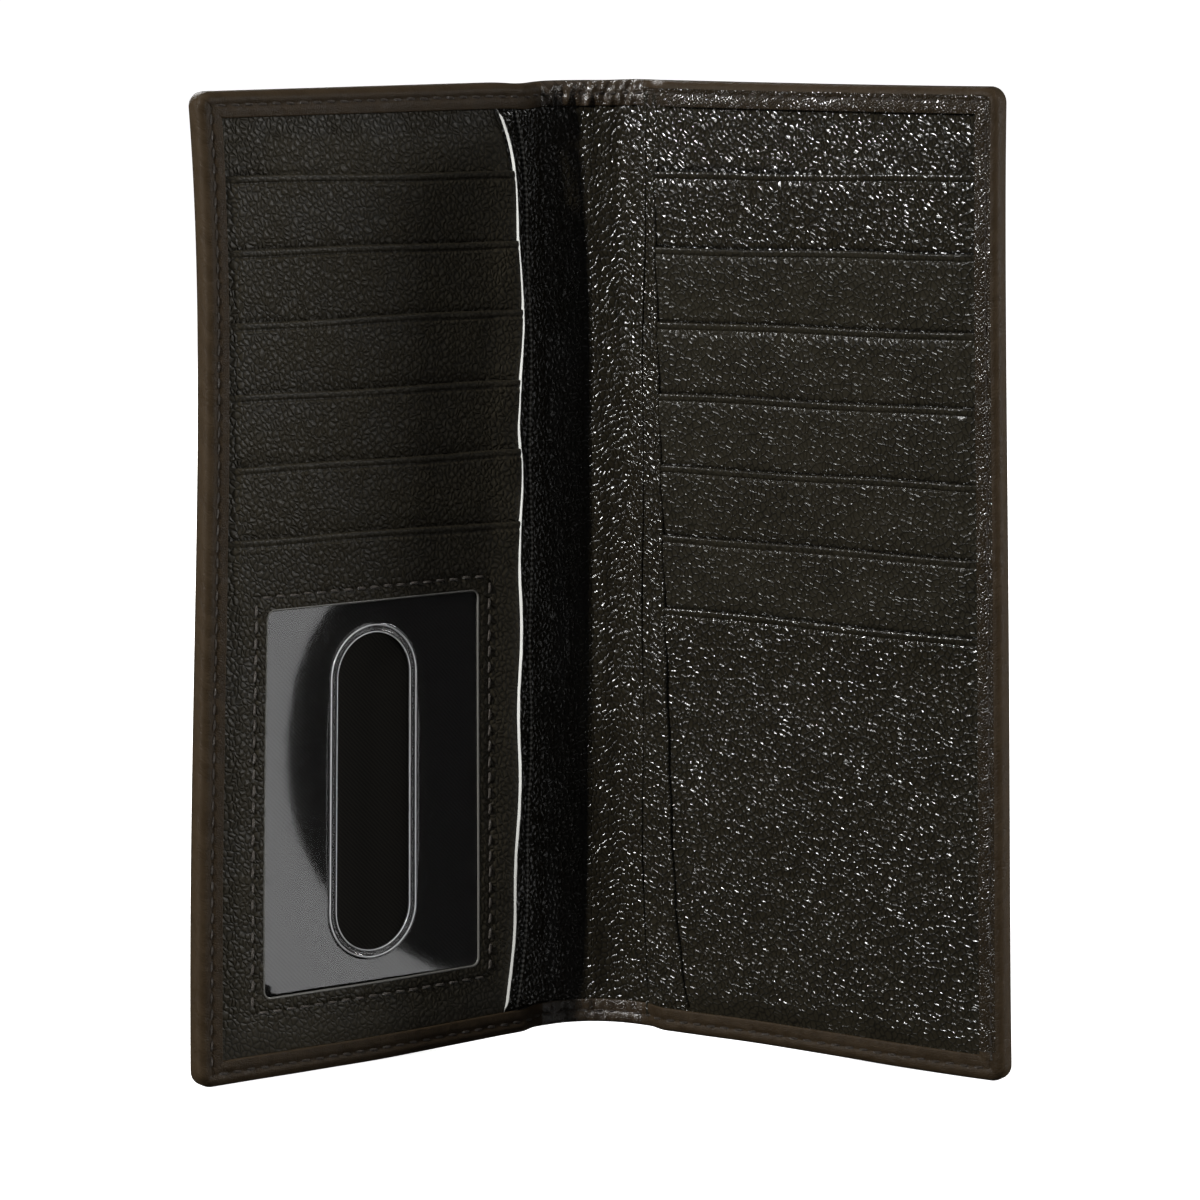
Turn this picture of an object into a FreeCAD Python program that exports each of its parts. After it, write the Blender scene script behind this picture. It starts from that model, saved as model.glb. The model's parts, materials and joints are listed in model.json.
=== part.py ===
"""Long two-wing leather wallet, standing open on its bottom edges.

+Z is up, +X is to the right of a person who looks into the open wallet, and the spine is at the back, +Y.
The origin is the centre of the bounding box's bottom face. All sizes are in millimetres.

Each wing is built flat in its own axes and then folded into place: u runs from the fold line to the free
edge, w runs from the outer face of the cover inwards, and z is up. place_wing() folds and, for the left
wing, mirrors it. The spine is an arc that leaves each wing along its tangent.
"""

import FreeCAD, Part
import math
import os

Vector = FreeCAD.Vector

# Driving dimensions of the whole wallet
HEIGHT = 184.0            # along the spine
WING = 80.0               # from fold line to free edge
FOLD_SPACING = 18.9       # between the two fold lines
FOLD_ANGLE = 34.6         # how far each wing is folded from lying flat, in degrees
CORNER_R = 3.0            # corners of the free edges
EDGE_R = 0.8              # rounding along the cover's turned edges
HEM = 4.9                 # width of the turned edge on the inside
COVER = 0.9               # cover leather
TURN = 0.8                # cover leather where it goes round the edge
FOLD_GAP = 0.9            # from a fold line to the cover leather on each side of it
STACK_START = 2.0         # inner layers of a wing begin this far from the fold line
INSET = 1.0               # inner layers end this far inside the free edges
SEWN_INSET = 2.0          # the card panel's layers end this far inside them
SEWN_END = WING - SEWN_INSET

# Layers of a wing, as (back face, front face) along w
STIFFENER_W = (0.9, 1.2)
LINING_W = (1.2, 1.35)
FACING_W = (1.2, 1.45)
DIVIDER_W = (1.55, 2.0)
BACK_W = (2.1, 2.45)
BAND_W = (2.45, 3.3)
TAIL_W = 2.5              # back face of the deepest slot lining
TAIL = 0.1                # slot lining cloth
TAIL_STEP = 0.13          # each slot lining lies this much further forward
TAIL_LAP = 1.0            # a slot lining reaches this far above the next mouth
PANEL_W = 3.5             # back face of the card panel's leather
PANEL = 0.4               # card panel leather
FLANGE = 0.2              # card panel leather, pared where it goes under the hem
HEM_GAP = 0.2             # from the hem to the full thickness of the card panel
LIP_W = (3.72, 4.3)       # the hem on the inside

# Card slots
PANEL_START = 7.3         # inner side edge of the card panel, near the spine
RISE = 0.55               # a slot's mouth stands this much forward of its strip's foot
TUCK = 3.0                # a strip's foot goes this far behind the next mouth
LEAN = 12.0               # height over which the lowest panel leans back from its mouth
POCKET_DEPTH = 79.0       # from a mouth down to the foot of its pocket
MOUTH_R = 0.17            # rounding of a turned mouth edge
LEFT_MOUTHS = 6
LEFT_TOP_MOUTH = 168.0
LEFT_PITCH = 13.45
RIGHT_MOUTHS = 7
RIGHT_TOP_MOUTH = 167.8
RIGHT_PITCH = 14.1
LINING_FOOT = 6.0         # no slot lining reaches lower than this
TAIL_START = 8.0
BAND_FOOT = 160.0

# Inner edges of the long pockets
LEFT_DIVIDER_START = 4.6
RIGHT_DIVIDER_START = 2.6
FACING_END = 14.0
STIFFENER_START = 4.0

# Identity window in the left wing's lowest panel
WINDOW_U = (17.9, 66.0)
WINDOW_Z = (15.2, 88.2)
WINDOW_R = 2.5
WINDOW_SEAM = 2.5         # from the opening to its stitching
PLASTIC_W = (3.3, 3.45)
PLASTIC_LAP = 4.0         # the plastic is this much larger than the opening
BACKING_W = (3.15, 3.25)
THUMB_WIDTH = 18.4
THUMB_LENGTH = 63.3
THUMB_CENTRE_Z = 52.0
THUMB_RIM = 1.0
THUMB_RIM_HEIGHT = 0.15

# Stitching
STITCH_INSET = 2.5        # from the free edge to the seam
STITCH_PITCH = 3.0
STITCH = (2.3, 0.55, 0.2)         # length, width and height of a visible stitch
STITCH_TOP = (1.7, 0.25)          # length and width of its crown
WINDOW_STITCH_LIFT = 0.05
GROOVE = (0.9, 0.25)      # width and depth of the pressed line that the outside stitches lie in

# Spine
SPINE_LINING_W = (0.92, 1.4)
SPINE_LIP_W = (1.42, 2.0)
CHORD_LIFT = 0.06         # lets a straight stitch lie in the hollow of the spine

fold = math.radians(FOLD_ANGLE)
spine_r = FOLD_SPACING / 2 / math.sin(fold)
spine_centre_y = -spine_r * math.cos(fold)
spine_back = spine_centre_y + spine_r
wing_front = -(WING - EDGE_R) * math.sin(fold) - (LIP_W[1] - EDGE_R) * math.cos(fold) - EDGE_R
SHIFT_Y = -(spine_back + wing_front) / 2


def slab(u_range, w_range, z_range):
    """A flat layer of a wing."""
    size_u = u_range[1] - u_range[0]
    size_w = w_range[1] - w_range[0]
    size_z = z_range[1] - z_range[0]
    return Part.makeBox(size_u, size_w, size_z, Vector(u_range[0], -w_range[1], z_range[0]))


def filleted(solid, radius, chosen):
    """The solid with every edge that chosen(edge) accepts rounded."""
    return solid.makeFillet(radius, [e for e in solid.Edges if chosen(e)])


def along(edge, axis):
    """True for a straight edge parallel to an axis, 0 for u, 1 for w and 2 for z."""
    box = edge.BoundBox
    spans = [box.XLength, box.YLength, box.ZLength]
    return all(spans[i] < 1e-6 for i in range(3) if i != axis)


def free_corner_sheet(u_start, w_range, inset):
    """A layer that fills the wing as far as inset inside its three free edges, with its two free corners rounded."""
    u_end = WING - inset
    sheet = slab((u_start, u_end), w_range, (inset, HEIGHT - inset))
    radius = max(CORNER_R - inset, 0.4)
    return filleted(sheet, radius, lambda e: along(e, 1) and abs(e.CenterOfMass.x - u_end) < 1e-6)


def rounded_window(grow, w_range):
    """The identity window's outline, made larger by grow, as a solid."""
    block = slab(
        (WINDOW_U[0] - grow, WINDOW_U[1] + grow),
        w_range,
        (WINDOW_Z[0] - grow, WINDOW_Z[1] + grow),
    )
    return filleted(block, WINDOW_R + max(grow, 0) / 2, lambda e: along(e, 1))


def stadium(grow, w_range):
    """The thumb slot's outline, made larger by grow, as a solid."""
    radius = THUMB_WIDTH / 2 + grow
    straight = THUMB_LENGTH - THUMB_WIDTH
    centre_u = (WINDOW_U[0] + WINDOW_U[1]) / 2
    depth = w_range[1] - w_range[0]
    low_z = THUMB_CENTRE_Z - straight / 2
    body = Part.makeBox(2 * radius, depth, straight, Vector(centre_u - radius, -w_range[1], low_z))
    for z in (low_z, low_z + straight):
        body = body.fuse(Part.makeCylinder(radius, depth, Vector(centre_u, -w_range[1], z), Vector(0, 1, 0)))
    return body.removeSplitter()


def wing_groove():
    """The pressed line in a wing's outer face, as a solid."""
    half_width = GROOVE[0] / 2
    outer = free_corner_sheet(0, (-1, GROOVE[1]), STITCH_INSET - half_width)
    inner = free_corner_sheet(-1, (-2, 1), STITCH_INSET + half_width)
    return outer.cut(inner)


def wing_cover():
    """Cover leather of a wing, turned over its three free edges to make the hem."""
    block = slab((FOLD_GAP, WING), (0, LIP_W[1]), (0, HEIGHT))
    block = filleted(block, CORNER_R, lambda e: along(e, 1) and e.CenterOfMass.x > WING / 2)

    def rim(edge):
        on_a_face = edge.BoundBox.YLength < 1e-6
        return on_a_face and edge.CenterOfMass.x > FOLD_GAP + 1e-6

    block = filleted(block, EDGE_R, rim)
    cavity = free_corner_sheet(0, (COVER, LIP_W[0]), TURN)
    opening = free_corner_sheet(0, (LIP_W[0] - 0.1, LIP_W[1] + 1), HEM)
    fold_room = slab((0, STACK_START), (COVER, LIP_W[1] + 1), (-1, HEIGHT + 1))
    return block.cut(cavity).cut(opening).cut(fold_room).cut(wing_groove())


def folded_sheet(u_start, w_range):
    """A leather layer whose edge at the spine is turned, so that it is round."""
    sheet = free_corner_sheet(u_start, w_range, INSET)
    radius = 0.45 * (w_range[1] - w_range[0])
    return filleted(sheet, radius, lambda e: along(e, 2) and abs(e.CenterOfMass.x - u_start) < 1e-6)


def leaning(points, u_range):
    """A piece with one cross-section in w and z all along u."""
    outline = [Vector(u_range[0], -w, z) for w, z in points]
    face = Part.Face(Part.makePolygon(outline + outline[:1]))
    return face.extrude(Vector(u_range[1] - u_range[0], 0, 0))


def round_mouth(piece, mouth_z):
    """The piece with its mouth rounded like a turned edge."""
    return filleted(piece, MOUTH_R, lambda e: along(e, 0) and abs(e.CenterOfMass.z - mouth_z) < 1e-6)


def slot_strip(mouth_z, next_mouth_z):
    """Leather strip of one card slot, from its mouth to its foot behind the next mouth."""
    foot_z = next_mouth_z - TUCK
    hem_start = WING - HEM - HEM_GAP
    section = [
        (PANEL_W, foot_z),
        (PANEL_W + PANEL, foot_z),
        (PANEL_W + PANEL + RISE, mouth_z),
        (PANEL_W + RISE, mouth_z),
    ]
    strip = round_mouth(leaning(section, (PANEL_START, hem_start)), mouth_z)
    flange_w = (PANEL_W, PANEL_W + FLANGE)
    flange = slab((hem_start, SEWN_END), flange_w, (next_mouth_z, mouth_z - RISE))
    return strip.fuse(flange).removeSplitter()


def lowest_panel(mouth_z):
    """Leather panel under the card slots, from the lowest mouth to the bottom hem."""
    hem_start = WING - HEM - HEM_GAP
    foot_z = HEM + HEM_GAP
    section = [
        (PANEL_W, foot_z),
        (PANEL_W + PANEL, foot_z),
        (PANEL_W + PANEL, mouth_z - LEAN),
        (PANEL_W + PANEL + RISE, mouth_z),
        (PANEL_W + RISE, mouth_z),
        (PANEL_W, mouth_z - LEAN),
    ]
    panel = round_mouth(leaning(section, (PANEL_START, hem_start)), mouth_z)
    flange_w = (PANEL_W, PANEL_W + FLANGE)
    side_flange = slab((hem_start, SEWN_END), flange_w, (SEWN_INSET, mouth_z - LEAN))
    foot_flange = slab((PANEL_START, hem_start), flange_w, (SEWN_INSET, foot_z))
    return panel.fuse([side_flange, foot_flange]).removeSplitter()


def slot_lining(order, next_mouth_z):
    """Cloth that hangs from a slot strip and parts two pockets. The deepest has order 0."""
    back_w = TAIL_W + TAIL_STEP * order
    foot_z = max(next_mouth_z - POCKET_DEPTH, LINING_FOOT)
    return slab((TAIL_START, SEWN_END), (back_w, back_w + TAIL), (foot_z, next_mouth_z + TAIL_LAP))


def mouths(top, pitch, count):
    """Heights of the slot mouths, from the top one down."""
    return [top - pitch * i for i in range(count)]


def window_panel(mouth_z):
    """The left wing's lowest panel, with the window cut in it."""
    return lowest_panel(mouth_z).cut(rounded_window(0, (PANEL_W - 1, PANEL_W + PANEL + 1)))


def window_plastic():
    """Clear sheet behind the window, with a thumb slot and a welded rim round it."""
    sheet = rounded_window(PLASTIC_LAP, PLASTIC_W)
    rim = stadium(THUMB_RIM, (PLASTIC_W[0], PLASTIC_W[1] + THUMB_RIM_HEIGHT))
    hole = stadium(0, (PLASTIC_W[0] - 1, PLASTIC_W[1] + 1))
    return sheet.fuse(rim).cut(hole).removeSplitter()


def stitch():
    """One stitch lying along +X on the plane y = 0 and standing towards -Y, centred on the origin."""
    length, width, height = STITCH
    crown, ridge = STITCH_TOP
    wedge = Part.makeWedge(
        -length / 2, 0, -width / 2, -ridge / 2, -crown / 2,
        length / 2, height, width / 2, ridge / 2, crown / 2,
    )
    wedge.rotate(Vector(0, 0, 0), Vector(1, 0, 0), 180)
    return wedge


def seam(start, end, w, outside=False):
    """Stitches in a straight line from start to end, both (u, z), on the face at w."""
    run_u = end[0] - start[0]
    run_z = end[1] - start[1]
    length = math.hypot(run_u, run_z)
    count = max(1, round(length / STITCH_PITCH))
    made = []
    for i in range(count):
        share = (i + 0.5) / count
        one = stitch()
        if outside:
            one.rotate(Vector(0, 0, 0), Vector(1, 0, 0), 180)
        one.rotate(Vector(0, 0, 0), Vector(0, 1, 0), -math.degrees(math.atan2(run_z, run_u)))
        one.translate(Vector(start[0] + share * run_u, -w, start[1] + share * run_z))
        made.append(one)
    return made


def wing_seams():
    """The seam round the three free edges, seen on the hem and on the outside."""
    u_start = STACK_START + 0.5
    u_end = WING - STITCH_INSET
    low_z = STITCH_INSET
    high_z = HEIGHT - STITCH_INSET
    path = [(u_start, low_z), (u_end - 1, low_z), (u_end, low_z + 1), (u_end, high_z - 1),
            (u_end - 1, high_z), (u_start, high_z)]
    runs = [(path[0], path[1]), (path[2], path[3]), (path[4], path[5])]
    made = []
    for start, end in runs:
        made += seam(start, end, LIP_W[1])
        made += seam(start, end, GROOVE[1], outside=True)
    return Part.makeCompound(made)


def window_seam():
    """The seam round the identity window."""
    low_u = WINDOW_U[0] - WINDOW_SEAM
    high_u = WINDOW_U[1] + WINDOW_SEAM
    low_z = WINDOW_Z[0] - WINDOW_SEAM
    high_z = WINDOW_Z[1] + WINDOW_SEAM
    face_w = PANEL_W + PANEL
    lean_start = LEFT_TOP_MOUTH - LEFT_PITCH * (LEFT_MOUTHS - 1) - LEAN
    top_w = face_w + RISE * max(0, high_z - lean_start) / LEAN + WINDOW_STITCH_LIFT
    trim = WINDOW_R
    made = seam((low_u + trim, low_z), (high_u - trim, low_z), face_w)
    made += seam((low_u + trim, high_z), (high_u - trim, high_z), top_w)
    for u in (low_u, high_u):
        made += seam((u, low_z + trim), (u, lean_start), face_w)
    return Part.makeCompound(made)


def spine_layer(w_range, z_range):
    """A layer of the spine, between the two fold lines."""
    half = math.degrees(fold - FOLD_GAP / spine_r)
    height = z_range[1] - z_range[0]
    axis_foot = Vector(0, spine_centre_y, z_range[0])
    outer = Part.makeCylinder(spine_r - w_range[0], height, axis_foot, Vector(0, 0, 1), 2 * half)
    inner = Part.makeCylinder(spine_r - w_range[1], height, axis_foot, Vector(0, 0, 1), 360)
    layer = outer.cut(inner)
    layer.rotate(axis_foot, Vector(0, 0, 1), 90 - half)
    return layer


def spine_cover():
    """Cover leather of the spine, turned over at the top and bottom."""
    block = spine_layer((0, SPINE_LIP_W[1]), (0, HEIGHT))
    cavity = spine_layer((COVER, SPINE_LIP_W[0]), (TURN, HEIGHT - TURN))
    opening = spine_layer((SPINE_LIP_W[0], SPINE_LIP_W[1] + 1), (HEM, HEIGHT - HEM))
    block = block.cut(cavity).cut(opening)
    half_width = GROOVE[0] / 2
    for z in (STITCH_INSET, HEIGHT - STITCH_INSET):
        block = block.cut(spine_layer((-1, GROOVE[1]), (z - half_width, z + half_width)))
    return block


def spine_seams():
    """The seam along the spine's two hems, seen inside and outside."""
    half = math.degrees(fold) - math.degrees(1.0 / spine_r) * 2
    count = round(2 * math.radians(half) * spine_r / STITCH_PITCH)
    centre = Vector(0, spine_centre_y, 0)
    made = []
    for z in (STITCH_INSET, HEIGHT - STITCH_INSET):
        for i in range(count):
            angle = -half + 2 * half * (i + 0.5) / count
            inside = stitch()
            inside.translate(Vector(0, spine_centre_y + spine_r - SPINE_LIP_W[1] - CHORD_LIFT, z))
            outside = stitch()
            outside.rotate(Vector(0, 0, 0), Vector(1, 0, 0), 180)
            outside.translate(Vector(0, spine_centre_y + spine_r - GROOVE[1], z))
            for one in (inside, outside):
                one.rotate(centre, Vector(0, 0, 1), angle)
                made.append(one)
    return Part.makeCompound(made)


def place_wing(shape, side):
    """Folds a flat wing piece into place. Side is 1 for the right wing and -1 for the left."""
    placed = shape.copy()
    placed.rotate(Vector(0, 0, 0), Vector(0, 0, 1), -FOLD_ANGLE)
    placed.translate(Vector(FOLD_SPACING / 2, SHIFT_Y, 0))
    if side < 0:
        placed = placed.mirror(Vector(0, 0, 0), Vector(1, 0, 0))
    return placed


def shared_wing_pieces(divider_start):
    """The pieces that both wings have."""
    return {
        "stiffener": free_corner_sheet(STIFFENER_START, STIFFENER_W, INSET),
        "cover_lining": free_corner_sheet(FACING_END, LINING_W, INSET),
        "lining_facing": slab((STACK_START + 0.2, FACING_END), FACING_W, (INSET, HEIGHT - INSET)),
        "bill_divider": folded_sheet(divider_start, DIVIDER_W),
        "pocket_back": folded_sheet(PANEL_START, BACK_W),
        "top_band": slab((PANEL_START, SEWN_END), BAND_W, (BAND_FOOT, HEIGHT - SEWN_INSET)),
        "edge_stitching": wing_seams(),
    }


def slot_pieces(heights):
    """The slot strips and their linings, numbered from the top."""
    made = {}
    for order in range(len(heights) - 1):
        made[f"slot_strip_{order + 1}"] = slot_strip(heights[order], heights[order + 1])
        made[f"slot_lining_{order + 1}"] = slot_lining(order, heights[order + 1])
    return made


def left_wing():
    heights = mouths(LEFT_TOP_MOUTH, LEFT_PITCH, LEFT_MOUTHS)
    pieces = shared_wing_pieces(LEFT_DIVIDER_START)
    pieces.update(slot_pieces(heights))
    pieces["window_panel"] = window_panel(heights[-1])
    pieces["window_backing"] = rounded_window(PLASTIC_LAP, BACKING_W)
    pieces["window_plastic"] = window_plastic()
    pieces["window_stitching"] = window_seam()
    return pieces


def right_wing():
    heights = mouths(RIGHT_TOP_MOUTH, RIGHT_PITCH, RIGHT_MOUTHS)
    pieces = shared_wing_pieces(RIGHT_DIVIDER_START)
    pieces.update(slot_pieces(heights))
    pieces["front_panel"] = lowest_panel(heights[-1])
    return pieces


def all_pieces():
    """Every node's name and shape in the row frame."""
    nodes = {
        "cover_spine": spine_cover(),
        "spine_lining": spine_layer(SPINE_LINING_W, (INSET, HEIGHT - INSET)),
        "spine_edge_stitching": spine_seams(),
    }
    for shape in nodes.values():
        shape.translate(Vector(0, SHIFT_Y, 0))
    for side, side_name, pieces in ((-1, "left", left_wing()), (1, "right", right_wing())):
        nodes[f"cover_{side_name}"] = place_wing(wing_cover(), side)
        for name, shape in pieces.items():
            nodes[f"{side_name}_{name}"] = place_wing(shape, side)
    return nodes


os.makedirs("parts", exist_ok=True)
for node_name, node_shape in all_pieces().items():
    node_shape.exportStep(f"parts/{node_name}.step")
    print(node_name, "solids", len(node_shape.Solids), "valid", node_shape.isValid(), "mm3", round(node_shape.Volume, 1))
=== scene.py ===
"""Looks of the long leather wallet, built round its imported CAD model.

Every piece is worked out in a wing's own axes, in millimetres: u runs from the fold line to the free edge, w from
the outer face of the cover inwards, z up. For u below 0 the same axes run on along the arc of the spine, as far as
its middle. Side is -1 for the left wing and 1 for the right one. place() takes such a point to the shared frame.
"""

import json
import math
from functools import partial

import bmesh
import bpy
import numpy as np
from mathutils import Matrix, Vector


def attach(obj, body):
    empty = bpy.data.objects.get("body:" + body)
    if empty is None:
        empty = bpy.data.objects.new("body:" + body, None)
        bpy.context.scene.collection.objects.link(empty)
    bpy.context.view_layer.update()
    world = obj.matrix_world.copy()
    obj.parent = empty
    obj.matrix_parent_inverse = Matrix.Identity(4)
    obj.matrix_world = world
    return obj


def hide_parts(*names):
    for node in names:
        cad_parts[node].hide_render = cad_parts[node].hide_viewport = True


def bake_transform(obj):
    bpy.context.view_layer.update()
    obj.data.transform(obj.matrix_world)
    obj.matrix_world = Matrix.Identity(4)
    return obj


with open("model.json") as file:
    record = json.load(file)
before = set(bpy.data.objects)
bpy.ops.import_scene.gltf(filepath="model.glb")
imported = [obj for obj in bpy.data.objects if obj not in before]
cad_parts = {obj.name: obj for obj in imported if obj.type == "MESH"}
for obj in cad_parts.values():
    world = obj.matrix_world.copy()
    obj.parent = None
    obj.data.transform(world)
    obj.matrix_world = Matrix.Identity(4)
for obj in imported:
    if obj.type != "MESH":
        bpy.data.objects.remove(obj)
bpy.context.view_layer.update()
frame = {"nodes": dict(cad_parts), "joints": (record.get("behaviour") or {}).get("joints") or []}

# ---- sizes, read from the CAD model
JOINTS = {joint["name"]: joint for joint in frame["joints"]}
FOLD = -math.radians(JOINTS["right_fold"]["range_deg"][0])
FOLD_X, FOLD_Y = (1000 * value for value in JOINTS["right_fold"]["pos_m"][:2])
SPINE_R = FOLD_X / math.sin(FOLD)
CENTRE_Y = FOLD_Y - SPINE_R * math.cos(FOLD)
ARC_HALF = FOLD * SPINE_R
NAME = {-1: "left", 1: "right"}


def span(node):
    """A CAD node's ranges along u, w and z."""
    points = 1000 * np.array([v.co for v in frame["nodes"][node].data.vertices])
    side = 1 if points[:, 0].mean() > 0 else -1
    x = side * points[:, 0] - FOLD_X
    y = points[:, 1] - FOLD_Y
    u = x * math.cos(FOLD) - y * math.sin(FOLD)
    w = -x * math.sin(FOLD) - y * math.cos(FOLD)
    return [(float(a.min()), float(a.max())) for a in (u, w, points[:, 2])]


(_, WING), (_, LIP_TOP), (_, HEIGHT) = span("cover_right")
HEM = 4.9  # width of the hem
SPINE_LIP = 2.0  # where the hem's face lies as it crosses the spine
LIP = 0.58  # thickness of the turned leather
COVER = 0.9  # thickness of the cover
SEAM = 2.5  # from an edge to the stitches beside it
PITCH = 3.0  # from one stitch to the next
CORNER = 3.0  # radius of the cover's free corners
STRIPS = {-1: 5, 1: 6}
LOWEST = {-1: "left_window_panel", 1: "right_front_panel"}
MOUTHS = {
    side: [span(f"{NAME[side]}_slot_strip_{i + 1}")[2][1] for i in range(STRIPS[side])]
    + [span(LOWEST[side])[2][1]]
    for side in (-1, 1)
}
# How far each mouth leaves the level, at its end by the spine and at its free end
TILT = {
    -1: [(-0.7, 0.6), (-0.35, 0.65), (0.2, 0.6), (0.15, 0.85), (0.4, 1.0), (0.05, 1.15)],
    1: [(-0.9, 0.5), (-1.0, 0.3), (-0.9, -0.1), (-0.5, 0.0), (-0.2, 0.2), (0.7, 0.3), (0.9, -0.3)],
}
# Added to the tone of each piece of leather below a mouth, from the top one down: the higher, the calmer its grain
CALM = {-1: [0.5] * 6, 1: [0.0, 0.1, 0.2, 0.2, 0.1, 0.1, 0.0]}
STRIP_START = {-1: 0.2, 1: 0.85}  # from a card panel's inner side edge to its leather
PANEL_END = 2.2  # from the cover's edges to the card panel, under the hem
STRIP_LAP = 3  # how far a strip reaches below the next mouth
MOUTH_W, FOOT_W = 4.5, 3.9  # where a strip's face lies at its mouth and at its foot
UNDER_HEM = 3.66  # where the face of a sheet lies under the hem
CREASE = 1.4  # from a mouth down to the crease of its turned edge
LEATHER = 0.4  # thickness of the card panels' leather
SPINE_LINING_W, SPINE_LINING = 1.4, 0.25  # face and thickness of the leather that lines the spine
FILM_U, FILM_W, FILM_Z = span("left_window_plastic")
FILM_THICK = 0.15
FILM_FADE = 3.5  # from the film's edge to where it is free to sag
POCKET_BACK_W = span("left_pocket_back")[1][1]
BAND_W = span("right_top_band")[1][1]
WINDOW_LAP = 4.0
WINDOW_U = (FILM_U[0] + WINDOW_LAP, FILM_U[1] - WINDOW_LAP)
WINDOW_Z = (FILM_Z[0] + WINDOW_LAP, FILM_Z[1] - WINDOW_LAP)
WINDOW_CORNER = 1.6
MERGE = 2e-6  # points closer than this, in metres, become one

# ---- shape of the used wallet
# How far each wing's free edge lies beyond its place in CAD, at these heights
LEVELS = np.array([0, 30, 60, 92, 125, 155, 184.0])
SPLAY = {
    -1: np.polynomial.Polynomial.fit(LEVELS, (1.7, 1.35, 0.7, -0.6, -1.3, -1.45, 0.1), 4),
    1: np.polynomial.Polynomial.fit(LEVELS, (2.3, 1.6, 1.1, 0.5, -0.3, -0.85, -1.0), 4),
}


def smooth(t):
    """0 to 1 with level ends."""
    t = np.clip(t, 0, 1)
    return t * t * (3 - 2 * t)


def ridge(distance, width):
    """1 on a line, falling off over width on both sides of it."""
    return np.exp(-((distance / width) ** 2))


def warped(side, u, z):
    """The wings are a little wider at the bottom than at the top, and the spine stands just off the ground."""
    reach = np.clip(u / WING, 0, 1)
    low = (1 - z / HEIGHT) ** 8
    high = (z / HEIGHT) ** 8
    if side < 0:
        foot = 1.0 - smooth((u - 2) / 45)
        head = -0.35 * ridge(u - 6.5, 4)
    else:
        foot = 1.0 - smooth((u - 22) / 50)
        head = 0.25 * smooth((u + 8) / 8) + 0.4 * reach ** 3
    return u + SPLAY[side](z) * reach ** 1.4, z + foot * low + head * high


def place(side, u, w, z):
    """Points in the shared frame, in metres, from points in a wing's axes."""
    u, w, z = (np.asarray(a, float) for a in (u, w, z))
    u, z = warped(side, u, z)
    angle = FOLD + u / SPINE_R
    on_arc = u < 0
    x = np.where(on_arc, (SPINE_R - w) * np.sin(angle), FOLD_X + u * math.cos(FOLD) - w * math.sin(FOLD))
    y = np.where(
        on_arc,
        CENTRE_Y + (SPINE_R - w) * np.cos(angle),
        FOLD_Y - u * math.sin(FOLD) - w * math.cos(FOLD),
    )
    return np.stack([side * x, y, z], -1) / 1000


def rounded(u, z, centre, toward, radius):
    """Turns the square corner beyond centre, in the directions toward, into an arc."""
    x = (u - centre[0]) * toward[0]
    y = (z - centre[1]) * toward[1]
    inside = (x > 0) & (y > 0)
    square = np.maximum(np.abs(x), np.abs(y))
    distance = np.maximum(np.hypot(x, y), 1e-9)
    fade = np.clip(2 - square / radius, 0, 1)
    scale = np.where(inside, 1 + (square / distance - 1) * fade, 1.0)
    return centre[0] + (u - centre[0]) * scale, centre[1] + (z - centre[1]) * scale


# ---- meshes
def add_object(name, data):
    """A new object in the scene."""
    obj = bpy.data.objects.new(name, data)
    bpy.context.scene.collection.objects.link(obj)
    return obj


class Skin:
    """Grids of points in a wing's axes that become one mesh."""

    def __init__(self, side):
        self.side = side
        self.points = []
        self.grain = []
        self.tone = []
        self.faces = []
        self.material = []
        self.count = 0

    def grid(self, u, w, z, keep=None, tone=0.0, material=0, grain=None):
        """Adds the quads of a grid. Keep says which cells are made, and material is a place in made()'s list."""
        u, w, z, tone = np.broadcast_arrays(u, w, z, tone)
        rows, columns = u.shape
        index = self.count + np.arange(rows * columns).reshape(rows, columns)
        self.count += rows * columns
        self.points.append(np.stack([u.ravel(), w.ravel(), z.ravel()], -1))
        shown = np.stack([(u + w + ARC_HALF) * self.side, z + w, w], -1) if grain is None else grain
        self.grain.append(shown.reshape(-1, 3))
        self.tone.append(tone.ravel())
        quads = np.stack([index[:-1, :-1], index[1:, :-1], index[1:, 1:], index[:-1, 1:]], -1)
        if keep is not None:
            quads = quads[keep]
        quads = quads.reshape(-1, 4)
        self.faces.append(quads)
        self.material.append(np.full(len(quads), material))

    def made(self, name, materials):
        """The finished object."""
        points = np.concatenate(self.points)
        mesh = bpy.data.meshes.new(name)
        faces = np.concatenate(self.faces)
        mesh.from_pydata(place(self.side, points[:, 0], points[:, 1], points[:, 2]), [], faces.tolist())
        grain = mesh.attributes.new("grain", "FLOAT_VECTOR", "POINT")
        grain.data.foreach_set("vector", np.concatenate(self.grain).astype(np.float32).ravel())
        tone = mesh.attributes.new("tone", "FLOAT", "POINT")
        tone.data.foreach_set("value", np.concatenate(self.tone).astype(np.float32))
        mesh.polygons.foreach_set("material_index", np.concatenate(self.material).astype(np.int32))
        work = bmesh.new()
        work.from_mesh(mesh)
        bmesh.ops.remove_doubles(work, verts=work.verts, dist=MERGE)
        bmesh.ops.recalc_face_normals(work, faces=work.faces)
        work.to_mesh(mesh)
        work.free()
        mesh.shade_smooth()
        obj = add_object(name, mesh)
        for material in materials:
            mesh.materials.append(material)
        return obj


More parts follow.
